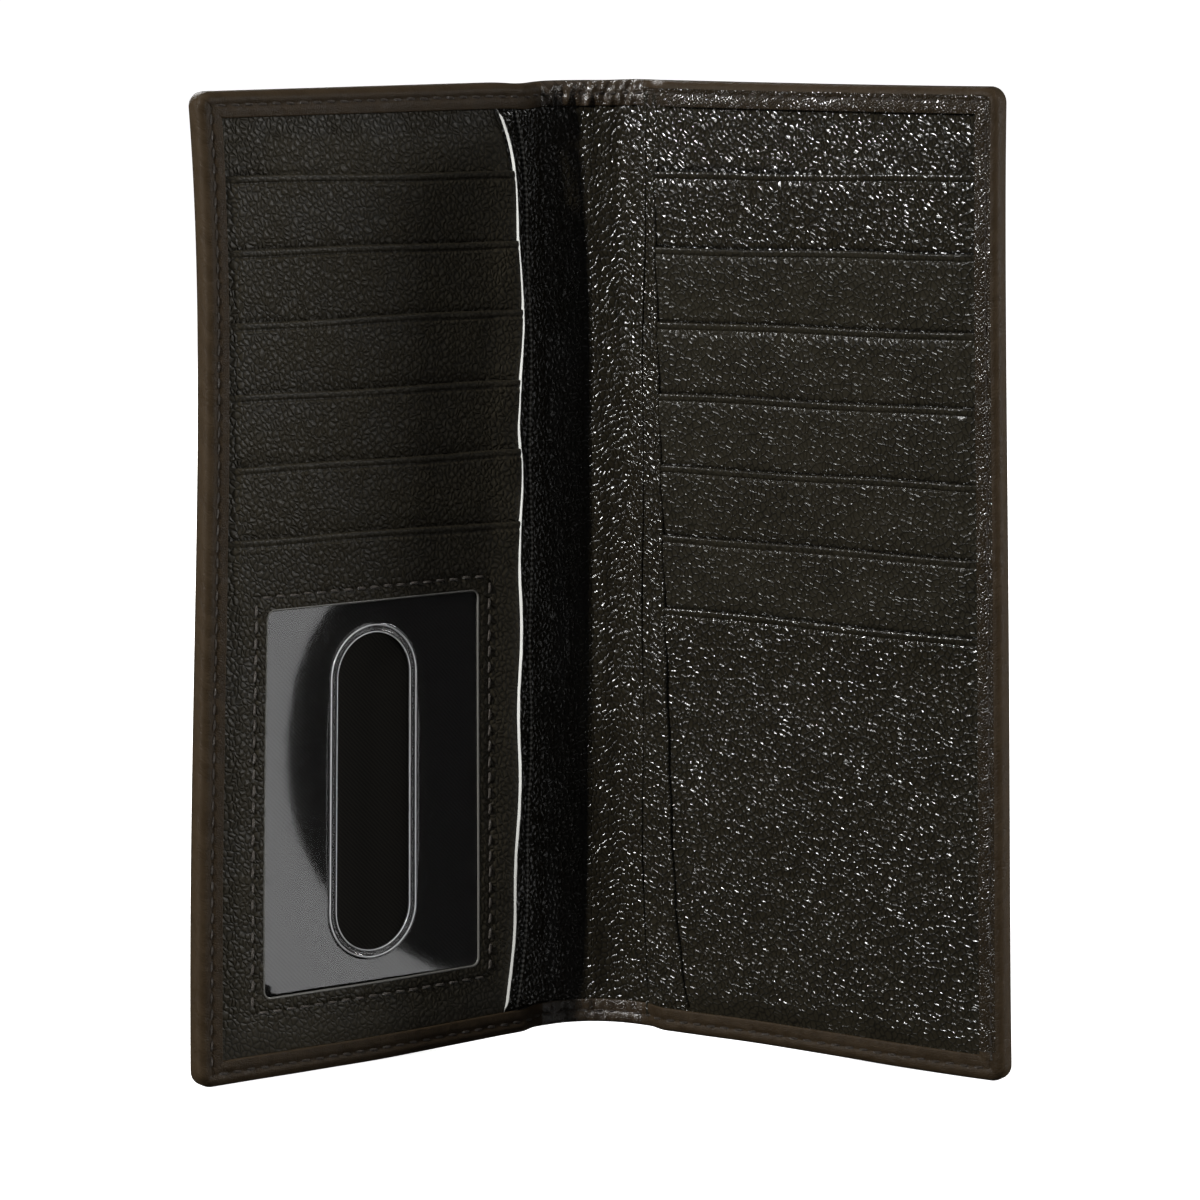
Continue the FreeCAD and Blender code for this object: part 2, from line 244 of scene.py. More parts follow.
def lines(length, step, at):
    """Distances from 0 to length: close together by both ends and near each place in at."""
    fine = (0, 0.05, 0.14, 0.26, 0.4, 0.6, 0.9)
    every = list(np.linspace(0, length, max(2, round(length / step)) + 1))
    close = [*fine, *(length - f for f in fine), *(spot + k * f for spot in at for f in fine for k in (-1, 1))]
    close = sorted({round(c, 3) for c in close if 0.01 < c < length - 0.01} | {0.0, length})
    kept = [e for e in every if all(abs(e - c) > 0.35 * step for c in close)]
    return np.array(sorted(close + kept))


def layer(name, side, u_range, z_range, front, thick, material, step=1.5, soft=(0.3, 0.3), at=((), ()),
          tone=None, hole=None):
    """A sheet with rounded edges. The ranges may be numbers or functions of the other coordinate.

    front(u, z) is the face that looks inwards, thick is the sheet's thickness, and soft how wide its edges'
    rounding is, at the spine end and along the top and bottom. The grid is finer near each place in at. Hole holds
    the ranges and the corner radius of an opening.
    """
    hole_soft = 0.22  # width of the rounding round the opening

    def number(value, other):
        return value(other) if callable(value) else np.full_like(other, value)

    middle_u = np.array([40.0])
    middle_z = np.array([92.0])
    length_u = float((number(u_range[1], middle_z) - number(u_range[0], middle_z))[0])
    length_z = float((number(z_range[1], middle_u) - number(z_range[0], middle_u))[0])
    along_u = lines(length_u, step, at[0])
    along_z = lines(length_z, step, at[1])
    s, t = np.meshgrid(along_u / length_u, along_z / length_z, indexing="ij")
    z = number(z_range[0], middle_u)[0] + t * length_z
    for _ in range(2):
        u = number(u_range[0], z) * (1 - s) + number(u_range[1], z) * s
        z = number(z_range[0], u) * (1 - t) + number(z_range[1], u) * t
    reach_u = np.minimum(s, 1 - s) * length_u / soft[0]
    reach_z = np.minimum(t, 1 - t) * length_z / soft[1]
    keep = None
    near = np.minimum(reach_u, reach_z)
    if hole is not None:
        (low_u, high_u), (low_z, high_z), radius = hole
        away = np.maximum(np.maximum(low_u - u, u - high_u), np.maximum(low_z - z, z - high_z))
        near = np.minimum(near, np.maximum(away, 0) / hole_soft)
        centre = (away[:-1, :-1] + away[1:, 1:]) / 2
        keep = centre > 0
        for su, cu in ((-1, low_u + radius), (1, high_u - radius)):
            for sz, cz in ((-1, low_z + radius), (1, high_z - radius)):
                u, z = rounded(u, z, (cu, cz), (su, sz), radius)
    profile = np.sqrt(1 - (1 - np.clip(near, 0, 1)) ** 2)
    face = front(u, z)
    half = thick / 2
    skin = Skin(side)
    shade = 0.0 if tone is None else tone(u, z)
    for direction in (1, -1):
        w = face - half + direction * half * profile
        grain = np.stack([(u + ARC_HALF) * side, z, w], -1)
        skin.grid(u, w, z, keep=keep, tone=shade, grain=grain)
    return skin.made(name, [material])


# ---- materials
def feed(tree, socket, value):
    """Links another node's output to a socket, or sets the socket to a value. None leaves it alone."""
    if isinstance(value, bpy.types.NodeSocket):
        tree.links.new(value, socket)
    elif value is not None:
        socket.default_value = value


def add_node(tree, kind, inputs, output=0, **settings):
    """One output of a new shader node that has these settings and is fed these inputs."""
    node = tree.nodes.new(kind)
    for name, value in settings.items():
        setattr(node, name, value)
    for socket, value in inputs.items():
        feed(tree, node.inputs[socket], value)
    return node.outputs[output]


class Nodes:
    """A material in the making. Most methods add a shader node and give its output."""

    def __init__(self, name):
        self.material = bpy.data.materials.new(name)
        self.material.use_nodes = True
        self.tree = self.material.node_tree
        self.shader = self.tree.nodes["Principled BSDF"]
        self.grain = self.attribute("grain", "Vector")

    def add(self, kind, inputs, output=0, **settings):
        return add_node(self.tree, kind, inputs, output, **settings)

    def attribute(self, name, output):
        return self.add("ShaderNodeAttribute", {}, output, attribute_name=name)

    def math(self, operation, a, b=0.0, c=0.0):
        return self.add("ShaderNodeMath", {0: a, 1: b, 2: c}, operation=operation)

    def vector(self, operation, a, b):
        second = "Scale" if operation == "SCALE" else 1
        return self.add("ShaderNodeVectorMath", {0: a, second: b}, operation=operation)

    def turned(self, vector, degrees, scale=(1, 1, 1)):
        """The vector along turned axes, with patterns drawn out along them by scale."""
        inputs = {"Vector": vector, "Rotation": (0, 0, math.radians(degrees)), "Scale": scale}
        return self.add("ShaderNodeMapping", inputs, vector_type="TEXTURE")

    def noise(self, vector, scale, detail=2.0, rough=0.5, color=False):
        inputs = {"Vector": vector, "Scale": scale, "Detail": detail, "Roughness": rough}
        return self.add("ShaderNodeTexNoise", inputs, "Color" if color else "Fac", noise_dimensions="2D")

    def drift(self, scale, detail, reach):
        """The grain's place, shifted by a slow noise so that its cells lie less evenly."""
        shift = self.vector("SUBTRACT", self.noise(self.grain, scale, detail, color=True), (0.5, 0.5, 0.5))
        return self.vector("ADD", self.grain, self.vector("SCALE", shift, reach))

    def to_edge(self, vector, scale, randomness=1.0):
        """Distance to the nearest edge between two cells."""
        inputs = {"Vector": vector, "Scale": scale, "Randomness": randomness}
        settings = {"voronoi_dimensions": "2D", "feature": "DISTANCE_TO_EDGE"}
        return self.add("ShaderNodeTexVoronoi", inputs, "Distance", **settings)

    def wave(self, vector, scale, distortion):
        inputs = {"Vector": vector, "Scale": scale, "Distortion": distortion, "Detail": 1.0}
        return self.add("ShaderNodeTexWave", inputs, "Fac")

    def fit(self, value, low, high, out_low=0.0, out_high=1.0, kind="SMOOTHSTEP"):
        inputs = {"Value": value, "From Min": low, "From Max": high, "To Min": out_low, "To Max": out_high}
        return self.add("ShaderNodeMapRange", inputs, interpolation_type=kind)

    def mix(self, share, a, b):
        a, b = (c if isinstance(c, bpy.types.NodeSocket) else (*c, 1) for c in (a, b))
        return self.add("ShaderNodeMix", {"Factor": share, 6: a, 7: b}, 2, data_type="RGBA")

    def bump(self, height, distance):
        return self.add("ShaderNodeBump", {"Height": height, "Strength": 1.0, "Distance": distance})

    def finish(self, color, roughness, normal=None, **constants):
        """The material, once its shader is fed. The constants are set on the shader itself."""
        for name, value in (("Base Color", color), ("Roughness", roughness), ("Normal", normal)):
            feed(self.tree, self.shader.inputs[name], value)
        for name, value in constants.items():
            self.shader.inputs[name.replace("_", " ")].default_value = value
        return self.material


def pebbled(name, low, high, cell=0.98, depth=0.125, shine=(0.23, 0.28), specular=0.32, turn=-56, crease=0.2,
            pale=None):
    """Leather with a pebble grain: low and high are its colours in the creases and on the pebbles.

    Cell is a pebble's size and depth the height of the grain, in millimetres. Shine is the roughness on the pebbles
    and in the creases. The darker colour in the creases is painted shade. The grain is calmer where tone is 1, and
    the colour is painted darker where tone is -1, as painted shade. Pale, if given, is its colour where tone is over
    0.8, partly a painted highlight.
    """
    n = Nodes(name)
    tone = n.attribute("tone", "Fac")
    to_edge = n.to_edge(n.turned(n.drift(0.45, 1.0, 1.3), turn, (1.3, 1.0, 1.0)), 1 / cell, 0.78)
    pebble = n.fit(to_edge, 0.0, crease)
    dome = n.fit(to_edge, 0.0, 0.5, kind="LINEAR")
    fine = n.noise(n.grain, 3.2, 2.0, 0.6)
    large = n.noise(n.grain, 0.09, 2.0)
    calm = n.fit(tone, 0.0, 1.0, depth, 0.25 * depth, "LINEAR")
    calm = n.math("MULTIPLY", calm, n.fit(large, 0.35, 0.65, 0.7, 1.15))
    height = n.math("MULTIPLY_ADD", dome, 0.8, n.math("MULTIPLY_ADD", pebble, 0.5, n.math("MULTIPLY", fine, 0.2)))
    height = n.math("MULTIPLY_ADD", height, calm, n.math("MULTIPLY", large, 0.2))
    # Darker in the creases between pebbles: painted shade
    color = n.mix(pebble, low, high)
    color = n.mix(n.fit(large, 0.35, 0.7, 0.0, 0.35), color, tuple(c * 1.35 for c in high))
    color = n.mix(n.fit(fine, 0.5, 0.8, 0.0, 0.35), color, low)
    # Painted shade where tone is below 0
    color = n.mix(n.fit(tone, -1.0, 0.0, 0.9, 0.0, "LINEAR"), color, tuple(0.2 * c for c in low))
    # Pale where tone is high: partly a painted highlight
    if pale is not None:
        color = n.mix(n.fit(tone, 0.4, 0.8), color, pale)
    rough = n.math("MULTIPLY_ADD", fine, 0.12, n.fit(pebble, 0.0, 1.0, shine[1] - 0.06, shine[0] - 0.06, "LINEAR"))
    return n.finish(color, rough, n.bump(height, 0.001), Specular_IOR_Level=specular)


def smooth_leather(name, color_low, color_high, rough=(0.32, 0.46), specular=0.24, depth=0.06):
    """The cover's leather, nearly smooth, with fine creases and pores, worn lighter where tone is 1."""
    n = Nodes(name)
    skin = n.fit(n.to_edge(n.drift(0.5, 2.0, 1.6), 1.9), 0.0, 0.25)
    fine = n.noise(n.grain, 4.0, 3.0, 0.65)
    soft = n.noise(n.grain, 0.35, 2.0)
    height = n.math("MULTIPLY_ADD", skin, 0.6, n.math("MULTIPLY", fine, 0.9))
    height = n.math("MULTIPLY_ADD", height, depth, n.math("MULTIPLY", soft, 0.22))
    shade = n.mix(n.fit(soft, 0.3, 0.7), color_low, color_high)
    shade = n.mix(n.fit(fine, 0.3, 0.75, 0.0, 0.5), shade, tuple(c * 0.6 for c in color_low))
    worn = n.math("MULTIPLY", n.math("MAXIMUM", n.attribute("tone", "Fac"), 0.0), n.fit(fine, 0.35, 0.65, 0.3, 1.0))
    shade = n.mix(worn, shade, tuple(min(1, c * 2.0) for c in color_high))
    gloss = n.fit(soft, 0.25, 0.75, rough[0], rough[1], "LINEAR")
    return n.finish(shade, gloss, n.bump(height, 0.001), Specular_IOR_Level=specular)


def twill(name, low, high):
    """Diagonal cloth."""
    n = Nodes(name)
    rib = n.wave(n.turned(n.grain, 45), 0.53, 0.4)
    yarn = n.wave(n.turned(n.grain, -32), 1.1, 0.6)
    fuzz = n.noise(n.grain, 9.0, 3.0, 0.7)
    height = n.math("MULTIPLY_ADD", yarn, 0.35, n.math("MULTIPLY_ADD", fuzz, 0.3, rib))
    color = n.mix(n.math("MULTIPLY", rib, n.fit(fuzz, 0.2, 0.8, 0.5, 1.0)), low, high)
    return n.finish(color, n.fit(fuzz, 0.2, 0.8, 0.7, 0.95), n.bump(height, 0.00001), Specular_IOR_Level=0.2)


def thread_material(name, low, high):
    """Two-ply thread. Its grain runs along a stitch and round it."""
    n = Nodes(name)
    ply = n.wave(n.turned(n.grain, 38), 1.5, 0.3)
    fuzz = n.noise(n.grain, 12.0, 2.0)
    # The ply bands are much lighter than the thread's own colour, partly standing in for glints: painted highlight
    color = n.mix(n.math("MULTIPLY", ply, fuzz), low, high)
    normal = n.bump(n.math("MULTIPLY_ADD", fuzz, 0.4, ply), 0.00008)
    return n.finish(color, n.fit(fuzz, 0.3, 0.7, 0.22, 0.4), normal, Specular_IOR_Level=0.7)


def film_material(name, color, transmission, rough):
    """Clear soft plastic."""
    n = Nodes(name)
    scuff = n.noise(n.grain, 2.5, 4.0, 0.6)
    gloss = n.fit(scuff, 0.35, 0.75, rough[0], rough[1], "LINEAR")
    return n.finish((*color, 1), gloss, None, Transmission_Weight=transmission, IOR=1.46)


def board_material(name):
    """Bonded fibre board."""
    n = Nodes(name)
    fibre = n.noise(n.turned(n.grain, 20, (1, 6, 1)), 1.4, 4.0, 0.7)
    fleck = n.noise(n.grain, 3.5, 2.0)
    color = n.mix(fibre, (0.25, 0.2, 0.14), (0.42, 0.35, 0.26))
    color = n.mix(n.fit(fleck, 0.6, 0.7), color, (0.12, 0.1, 0.08))
    return n.finish(color, n.fit(fibre, 0.3, 0.7, 0.75, 0.95), n.bump(fibre, 0.00008), Specular_IOR_Level=0.2)


# Two copies of one leather: the left wing's is lighter in colour, painted light standing in for the light there
PANEL = {
    -1: pebbled("left_panel_painted_light", (0.014, 0.0118, 0.0073), (0.031, 0.0262, 0.017), cell=1.0, depth=0.2,
                shine=(0.42, 0.5), specular=0.15, crease=0.3),
    1: pebbled("pebbled_panel", (0.005, 0.0042, 0.0026), (0.0165, 0.0138, 0.0085), depth=0.14, shine=(0.18, 0.23),
               specular=0.46),
}
# A copy of the right panel's leather for the right wing's slot strips below the first one, lighter in colour and
# less glossy, so that they glint less than the leather round them; the lighter colour stands in for how these strips
# lie in the light: painted light.
RIGHT_STRIPS_PAINTED_LIGHT = pebbled("right_strips_painted_light", (0.0075, 0.0065, 0.0045), (0.0215, 0.0188, 0.0128), depth=0.11,
                      shine=(0.22, 0.28), specular=0.13)
SPINE = pebbled("pebbled_spine", (0.0045, 0.0034, 0.0018), (0.0145, 0.0118, 0.0068), cell=0.95, shine=(0.19, 0.24),
                specular=0.5, turn=-62)
# Pale where tone is high: the light colour of the card panel's edge, partly a painted highlight
EDGE = pebbled("panel_edge", (0.012, 0.01, 0.006), (0.03, 0.025, 0.017), pale=(0.75, 0.75, 0.71), depth=0.04)
HEM_LEATHER = smooth_leather("smooth_cover", (0.031, 0.0205, 0.0108), (0.042, 0.0283, 0.0155), (0.4, 0.55), 0.11)
CREASED_HEM = smooth_leather("creased_hem", (0.022, 0.014, 0.007), (0.042, 0.028, 0.015), (0.22, 0.32), 0.75)
# A darker, glossier copy of the hem leather for the right hem; its darker colour is painted shade
RIGHT_HEM_PAINTED_SHADE = pebbled("right_hem_painted_shade", (0.0105, 0.0074, 0.0042), (0.024, 0.017, 0.0098), cell=0.5, depth=0.075,
                     shine=(0.2, 0.25), specular=0.42)
LINING = twill("lining_twill", (0.006, 0.0053, 0.0038), (0.0145, 0.0128, 0.0092))
# Light ply colour partly stands in for glints: painted highlight; the window's copy is lighter still for its stitches
THREAD = thread_material("brown_thread", (0.026, 0.02, 0.015), (0.2, 0.165, 0.135))
WINDOW_THREAD = thread_material("window_thread", (0.045, 0.038, 0.031), (0.36, 0.32, 0.28))
FILM = film_material("clear_film", (0.93, 0.93, 0.95), 1.0, (0.02, 0.05))
WELD = film_material("welded_rim", (0.9, 0.9, 0.92), 0.97, (0.04, 0.1))
# The weld's ridges are half white, standing in for the bright lines of light along them: painted highlight
WELD_LINE = film_material("welded_ridge", (0.9, 0.9, 0.92), 0.45, (0.15, 0.3))
BOARD = board_material("fibre_board")

# ---- cover
# Distances from a free edge at which the cover's grid has a line
INSETS = (0, 0.08, 0.2, 0.4, 0.7, 1.05, 1.45, 1.85, 2.15, 2.35, 2.5, 2.65, 2.85, 3.2, 3.7, 4.2, 4.55, 4.75, 4.85, HEM)
EDGE_OUT, EDGE_IN = 1.2, 1.5  # rounding of the edge towards the outer face and towards the hem's face


def lip_top(u):
    """Height of the hem's face. It comes down to the lining where the hem crosses the spine."""
    return SPINE_LIP + (LIP_TOP - SPINE_LIP) * smooth((u - 2) / 6)


def inset(u, z):
    """How far inside the free edges a point is."""
    return np.minimum(np.minimum(WING - u, z), HEIGHT - z)


def along_edge(u, z):
    """Where a point is along the seam, in stitches."""
    by_side = (WING - u) <= np.minimum(z, HEIGHT - z)
    return np.where(by_side, z - HEIGHT / 2, u - WING + SEAM + 1) / PITCH


def needle_holes(place):
    """1 at each hole of a seam, where place is a whole number, and 0 half way between two holes."""
    return 1 - np.abs(np.sin(math.pi * place)) ** 0.7


def edge_arc(d, radius):
    """Height of a rounded edge above the start of its rounding, d inside the edge."""
    over = radius - np.minimum(d, radius)
    return np.sqrt(np.maximum(radius ** 2 - over ** 2, 0))


def crinkle(side, u, z):
    """Folds of the hem where it crosses the spine, deeper at the top."""
    q = side * (u + ARC_HALF)
    from_top = HEIGHT - z
    top = z > HEIGHT / 2
    d = np.where(top, from_top, z)
    depth = np.where(top, 0.6, 0.2) * (1 - smooth((u + 1) / 4))
    sharp = np.abs(np.sin(0.62 * q + 0.35 * d + 0.6)) + 0.6 * np.abs(np.sin(1.35 * q - 0.5 * d + 1.1))
    waves = 0.35 * np.sin(2.6 * q + 0.9 * d)
    return depth * (sharp - 1.0 + waves) * smooth(d / 0.5)


def hem_face(side, u, z):
    """Inner face of the hem."""
    d = inset(u, z)
    top = lip_top(u)
    radius = np.minimum(EDGE_IN, 0.55 * top)
    face = top - radius + edge_arc(d, radius)
    # The seam's groove, the leather raised on both sides of it, and the mitre at the corners
    face = face - (0.16 + 0.1 * needle_holes(along_edge(u, z) + 0.5)) * ridge(d - SEAM, 0.42)
    face = face + 0.07 * ridge(d - 3.7, 0.8) + 0.05 * ridge(d - 1.55, 0.5)
    from_edge = WING - u
    mitre = np.abs(from_edge - np.minimum(z, HEIGHT - z))
    face = face - 0.16 * ridge(mitre, 0.3) * smooth((6.9 - from_edge) / 2) * smooth(d / 1.2)
    # The slot mouths' edges show through the hem
    height, above, width = (0.26, 0.2, 0.5) if side > 0 else (0.05, 0.4, 0.8)
    for mouth in MOUTHS[side]:
        face = face + height * ridge(z - mouth - above, width) * smooth((HEM + 0.6 - from_edge) / 1.2) * smooth(d / 1.0)
    slow = 0.05 * np.sin(0.21 * z + side) * np.sin(0.33 * u + 2 * side)
    puff = 0.4 * np.sin(math.pi * np.clip(d / HEM, 0, 1)) * (1 - smooth((u + 1) / 4)) * (z > HEIGHT / 2)
    return face + slow + puff + crinkle(side, u, z)


def outer_face(side, u, z):
    """Outer face of the cover."""
    d = inset(u, z)
    radius = np.minimum(EDGE_OUT, 0.42 * lip_top(u))
    face = radius - edge_arc(d, radius)
    groove = (0.2 + 0.08 * needle_holes(along_edge(u, z) + 0.5)) * ridge(d - SEAM, 0.42)
    return face + groove - 0.05 * ridge(d - 4.2, 1.0)


def corners(u, z):
    """Rounds the two corners of the free edge."""
    for high, centre_z in ((-1, CORNER), (1, HEIGHT - CORNER)):
        u, z = rounded(u, z, (WING - CORNER, centre_z), (1, high), CORNER)
    return u, z


def cover_half(side):
    """The cover of one wing and of its half of the spine, with the hem."""
    u_lines = np.concatenate([
        np.arange(-ARC_HALF, 4, 0.45),
        np.arange(4.2, WING - HEM - 0.4, 1.0),
        WING - np.array(INSETS[::-1]),
    ])
    middle = np.arange(HEM + 0.7, HEIGHT - HEM - 0.3, 1.0)
    z_lines = np.concatenate([INSETS, middle, HEIGHT - np.array(INSETS[::-1])])
    u, z = np.meshgrid(u_lines, z_lines, indexing="ij")
    d = inset(u, z)
    round_u, round_z = corners(u, z)
    out_w = outer_face(side, u, z)
    in_w = hem_face(side, u, z)
    turn = np.sqrt(1 - (1 - np.clip((HEM - d) / 0.2, 0, 1)) ** 2)
    face_w = in_w - LIP / 2 + LIP / 2 * turn
    under_w = in_w - LIP / 2 - LIP / 2 * turn
    cell = inset((u[:-1, :-1] + u[1:, 1:]) / 2, (z[:-1, :-1] + z[1:, 1:]) / 2)
    deep = 0.7  # how far in the cover's and the hem's inner faces start
    worn = 0.3 * ridge(d, 0.9)
    skin = Skin(side)
    skin.grid(round_u, out_w, round_z, tone=worn)
    creased = u[:-1, :-1] < 1.5
    # The inner part of the right wing's hem takes the darker copy of the hem leather: painted shade
    right_hem_shaded = (side > 0) & ~creased & (cell > 1.3) & (z[:-1, :-1] > HEM)
    edge_tone = worn + 0.25 * ridge(d - HEM, 0.3)
    for material, part in ((0, ~creased & ~right_hem_shaded), (1, creased), (2, right_hem_shaded)):
        skin.grid(round_u, face_w, round_z, keep=(cell < HEM) & part, tone=edge_tone, material=material)
    skin.grid(round_u, np.maximum(out_w, COVER), round_z, keep=cell > deep)
    skin.grid(round_u, under_w, round_z, keep=(cell < HEM) & (cell > deep))

    def wall(first, low, high, steps, tone):
        """A strip of faces from one skin to the other, past the grid's points that lie first lines in from its rim."""
        end_u, end_z = len(u_lines) - 1 - first, len(z_lines) - 1 - first
        i = np.concatenate([np.arange(end_u + 1), np.full(end_z - first, end_u), np.arange(end_u)[::-1]])
        j = np.concatenate([np.full(end_u + 1, first), np.arange(first + 1, end_z + 1), np.full(end_u, end_z)])
        share = np.linspace(0, 1, steps + 1)[:, None]
        wall_w = low[i, j] * (1 - share) + high[i, j] * share
        skin.grid(round_u[i, j] + 0 * share, wall_w, round_z[i, j] + 0 * share, tone=tone)

    wall(0, out_w, face_w, 3, 0.3)
    wall(INSETS.index(deep), np.maximum(out_w, COVER), under_w, 1, 0.0)
    obj = skin.made(f"cover_and_hem_{NAME[side]}", [HEM_LEATHER, CREASED_HEM, RIGHT_HEM_PAINTED_SHADE])
    bend(obj, side)
    return obj


def bend(obj, side):
    """Bakes the piece's transform into its mesh."""
    start = place(side, 5.0, 1.0, HEIGHT / 2)
    end = place(side, -ARC_HALF, 1.0, HEIGHT / 2)
    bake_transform(obj)


# ---- stitches
def stitches(name, side, runs, face, outward, lift, radius=0.25, material=THREAD):
    """Thread seen between its holes. Each run is (start, end) in (u, z). No two stitches lie quite alike."""
    length, slant = 2.3, 5.0
    skin = Skin(side)
    around = np.linspace(0, 2 * math.pi, 9)
    share = np.array([-1, -0.92, -0.75, -0.4, 0, 0.4, 0.75, 0.92, 1.0])
    thick = np.array([0, 0.55, 0.85, 1, 1, 1, 0.85, 0.55, 0])
    sink = 0.34 * np.abs(share) ** 3
    number = 0
    for (start_u, start_z), (end_u, end_z) in runs:
        count = max(1, round(math.hypot(end_u - start_u, end_z - start_z) / PITCH))
        angle = math.atan2(end_z - start_z, end_u - start_u)
        for i in range(count):
            number += 1
            turn = angle + math.radians(slant + 2.5 * math.sin(7.3 * number)) * outward
            along = np.array([math.cos(turn), math.sin(turn)])
            cross = np.array([-along[1], along[0]])
            middle = (i + 0.5) / count
            centre = np.array([start_u, start_z]) * (1 - middle) + np.array([end_u, end_z]) * middle
            centre = centre + cross * 0.05 * math.sin(3.1 * number)
            size = radius * (1 + 0.1 * math.sin(5.7 * number))
            spots = centre + np.outer(share * length / 2, along)
            ring_u = spots[:, :1] + cross[0] * size * thick[:, None] * np.cos(around)
            ring_z = spots[:, 1:] + cross[1] * size * thick[:, None] * np.cos(around)
            height = outward * (lift - sink)[:, None] + 0.85 * size * thick[:, None] * np.sin(around)
            ring_w = float(face(side, spots[:, 0], spots[:, 1])[4]) + height
            grain = share[:, None] * length + number * 3.7, np.cos(around) * size * 4, np.sin(around) * size * 4
            skin.grid(ring_u, ring_w, ring_z, grain=np.stack(np.broadcast_arrays(*grain), -1))
    return skin.made(name, [material])


def edge_runs():
    """The seam of one half of the wallet."""
    low, high, far = SEAM, HEIGHT - SEAM, WING - SEAM
    return [
        ((-ARC_HALF, low), (far - 1, low)),
        ((far, low + 1), (far, high - 1)),
        ((far - 1, high), (-ARC_HALF, high)),
    ]


# ---- inner layers
def inner_edge(side, z):
    """Inner side edge of a card panel, near the spine."""
    if side < 0:
        wave = 0.3 * np.sin(0.21 * z + 0.6) + 0.45 * ridge(z - 118, 4) - 0.35 * ridge(z - 140, 14)
        return 8.8 + 7.4 * np.exp(-(HEIGHT - z) / 9) + 5 * np.exp(-z / 32) - 1.9 * np.exp(-z / 40) + wave
    return 4.4 + 0.03 * (HEIGHT - z) + 4 * np.exp(-z / 14) + 0.12 * np.sin(0.45 * z)


def gape(side, u, z):
    """How far a card panel stands off the pocket behind it, next to the spine."""
    most = 0.9 if side < 0 else 0.5
    along = smooth((z - 4) / 40) * smooth((HEIGHT - 6 - z) / 30)
    return most * along * (1 - smooth((u - inner_edge(side, z)) / 7.5))


def divider_edge(side, z):
    """Folded edge of the long pocket's divider."""
    if side < 0:
        return 4.1 + 5.0 * np.exp(-(HEIGHT - z) / 14) + 4.0 * np.exp(-z / 22) + 0.25 * np.sin(0.17 * z + 1)
    return 1.2 + 1.3 * np.exp(-(HEIGHT - z) / 20) + 1.8 * np.exp(-z / 16) + 0.2 * np.sin(0.13 * z)


def mouth_at(side, order, u):
    """Height of a slot's mouth."""
    start, end = TILT[side][order]
    share = np.clip((u - 7) / (WING - HEM - 7), 0, 1)
    return MOUTHS[side][order] + start * (1 - share) + end * share + 0.12 * np.sin(0.13 * u + 1.7 * order)


def under_hem(u, z, w, limit=UNDER_HEM):
    """Presses a sheet down where the hem covers it."""
    side_press = smooth((u - (WING - HEM - 2.0)) / 1.9)
    foot_press = smooth((HEM + 1.9 - z) / 1.9)
    head_press = smooth((z - (HEIGHT - HEM - 1.9)) / 1.9)
    press = np.maximum(np.maximum(side_press, foot_press), head_press)
    return w * (1 - press) + np.minimum(w, limit) * press


def mouth_detail(below):
    """Shape of a turned mouth edge: a fine crease a little under a full edge."""
    return 0.08 * ridge(below - 0.5, 0.45) - 0.2 * ridge(below - CREASE, 0.24) + 0.03 * ridge(below - 2.1, 0.5)


def mouth_tone(side, order, u, z):
    """The leather is smooth where it is turned at its own mouth; its colour is painted darker along the crease under
    the mouth and just above the next mouth, where the next strip shades it: painted shade.
    """
    below = mouth_at(side, order, u) - z
    # Calmer grain near the turned edge, and painted shade along the crease under the mouth
    tone = 0.9 * smooth((2.0 - below) / 0.7) - 0.6 * ridge(below - CREASE, 0.22)
    if order + 1 < len(MOUTHS[side]):
        # Painted shade just above the next mouth
        tone = tone - 1.0 * ridge(z - mouth_at(side, order + 1, u) - 0.1, 0.4)
    return tone


def strip_face(side, order):
    """Front face of a slot strip."""
    pitch = MOUTHS[side][order] - MOUTHS[side][order + 1]

    def face(u, z):
        below = mouth_at(side, order, u) - z
        w = MOUTH_W - (MOUTH_W - FOOT_W) * below / (pitch + STRIP_LAP)
        w = w + 0.1 * np.sin(math.pi * np.clip(below / pitch, 0, 1)) + mouth_detail(below)
        w = w + 0.05 * np.sin(0.09 * u + 2.1 * order + side)
        w = w - 0.12 * ridge(z - mouth_at(side, order + 1, u) - 0.2, 0.45)
        return under_hem(u, z, w) + gape(side, u, z)

    return face


def panel_start(side, z):
    """Where the leather of a card panel starts."""
    return inner_edge(side, z) + STRIP_START[side]


def panel_leather(node, side, order, foot, front, material, at, hole=None):
    """Leather of a card panel, from its foot up to a slot's mouth."""
    obj = layer(
        f"{node}_leather", side, (partial(panel_start, side), WING - PANEL_END), (foot, partial(mouth_at, side, order)),
        front, LEATHER, material, step=1.6, soft=(0.35, 0.3), at=at,
        tone=lambda u, z: 0.8 * smooth((14 - z) / 9) + mouth_tone(side, order, u, z) + CALM[side][order], hole=hole,
    )
    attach(obj, f"{NAME[side]}_wing")
    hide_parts(node)


def strip(side, order):
    """A slot strip, from its mouth to just below the next one."""
    foot = MOUTHS[side][order + 1] - STRIP_LAP
    panel_leather(
        f"{NAME[side]}_slot_strip_{order + 1}", side, order, foot, strip_face(side, order),
        # The right wing's lower strips take the lighter copy of the leather: painted light
        RIGHT_STRIPS_PAINTED_LIGHT if side > 0 and order > 0 else PANEL[side],
        ((), (MOUTHS[side][order] - foot - CREASE, STRIP_LAP + 0.2)),
    )


